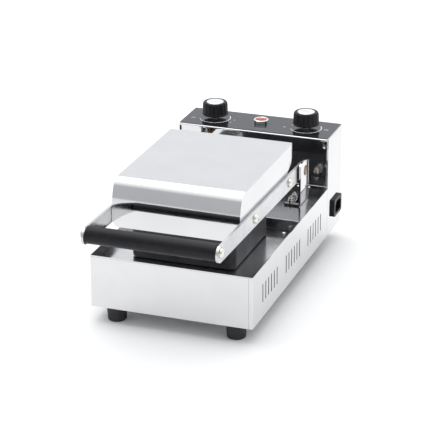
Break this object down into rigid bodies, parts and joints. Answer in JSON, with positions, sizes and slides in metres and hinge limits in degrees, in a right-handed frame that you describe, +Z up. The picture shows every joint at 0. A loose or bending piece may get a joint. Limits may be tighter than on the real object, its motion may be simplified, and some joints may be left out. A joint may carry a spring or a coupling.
{
  "type": "donut maker",
  "caption": "Countertop donut maker: steel base with control box, hinged hood on two arms with a bar handle, ring-shaped cavities in heated cast plates.",
  "frame": {"origin": "middle of the whole object's footprint to within 2 mm, on the table", "axes": "+X to the user's right, +Y from the handle back to the control box, +Z up"},
  "size_m": [0.2544, 0.5243, 0.218],
  "materials": {
    "polished_stainless": "mirror-polished stainless sheet",
    "plain_stainless": "satin stainless",
    "galvanised_steel": "galvanised sheet steel",
    "zinc_plated_steel": "bright zinc plating",
    "nonstick_cast_aluminium": "cast, black non-stick coating",
    "heater_sheath": "heat-darkened steel sheath",
    "black_rubber": "matt black rubber",
    "gloss_black_fascia": "glossy black printed film",
    "black_plastic": "moulded black, slight sheen",
    "bright_cap": "bright spun aluminium",
    "chrome": "chrome plating",
    "orange_lens": "translucent orange-red",
    "terminal_plastic": "cream heat-resistant plastic",
    "copper_capillary": "bare copper",
    "black_grip": "moulded black, satin",
    "bronze_pin": "dark bronze"
  },
  "bodies": {
    "base": {"base_shell": "polished_stainless", "bottom_cover": "galvanised_steel", "bracket_bolt_left_1": "zinc_plated_steel", "bracket_bolt_left_2": "zinc_plated_steel", "bracket_bolt_right_1": "zinc_plated_steel", "bracket_bolt_right_2": "zinc_plated_steel", "casting_screw_1": "zinc_plated_steel", "casting_screw_2": "zinc_plated_steel", "control_fascia": "gloss_black_fascia", "control_front_panel": "polished_stainless", "control_housing": "polished_stainless", "deck_plate": "polished_stainless", "deck_screw_1": "zinc_plated_steel", "deck_screw_2": "zinc_plated_steel", "foot_front_left": "black_rubber", "foot_front_right": "black_rubber", "foot_rear_left": "black_rubber", "foot_rear_right": "black_rubber", "hinge_bracket_left": "polished_stainless", "hinge_bracket_right": "polished_stainless", "inlet_contacts": "zinc_plated_steel", "lower_cooking_plate": "nonstick_cast_aluminium", "lower_heater": "heater_sheath", "lower_heater_clamp": "galvanised_steel", "pilot_lamp_bezel": "chrome", "pilot_lamp_lens": "orange_lens", "power_inlet": "black_plastic", "rear_panel": "plain_stainless", "terminal_block": "terminal_plastic", "thermostat_body": "galvanised_steel", "thermostat_capillary": "copper_capillary", "timer_body": "galvanised_steel"},
    "lid": {"arm_left": "plain_stainless", "arm_right": "plain_stainless", "handle_grip": "black_grip", "handle_rod": "zinc_plated_steel", "hood_cover": "polished_stainless", "hood_side_left": "polished_stainless", "hood_side_right": "polished_stainless", "lid_frame": "galvanised_steel", "hanger_stud_1": "zinc_plated_steel", "hanger_stud_2": "zinc_plated_steel", "hanger_stud_3": "zinc_plated_steel", "hanger_stud_4": "zinc_plated_steel", "hood_bolt_left_1": "zinc_plated_steel", "hood_bolt_left_2": "zinc_plated_steel", "hood_bolt_right_1": "zinc_plated_steel", "hood_bolt_right_2": "zinc_plated_steel", "upper_cooking_plate": "nonstick_cast_aluminium", "upper_heater": "heater_sheath", "upper_heater_clamp": "galvanised_steel", "pivot_pin_left": "bronze_pin", "pivot_pin_right": "bronze_pin"},
    "timer_control": {"timer_knob": "black_plastic", "timer_knob_cap": "bright_cap", "timer_shaft": "zinc_plated_steel"},
    "thermostat_control": {"thermostat_knob": "black_plastic", "thermostat_knob_cap": "bright_cap", "thermostat_shaft": "zinc_plated_steel"}
  },
  "joints": [
    {"name": "lid_hinge", "type": "hinge", "parent": "base", "child": "lid", "pos_m": [-0.004, 0.12462, 0.1575], "axis": [-1, 0, 0], "range_deg": [0, 90]},
    {"name": "timer_turn", "type": "hinge", "parent": "base", "child": "timer_control", "pos_m": [-0.0805, 0.22462, 0.1965], "axis": [0, 0, -1], "range_deg": [0, 300]},
    {"name": "thermostat_turn", "type": "hinge", "parent": "base", "child": "thermostat_control", "pos_m": [0.0725, 0.22462, 0.1965], "axis": [0, 0, -1], "range_deg": [0, 270]}
  ]
}
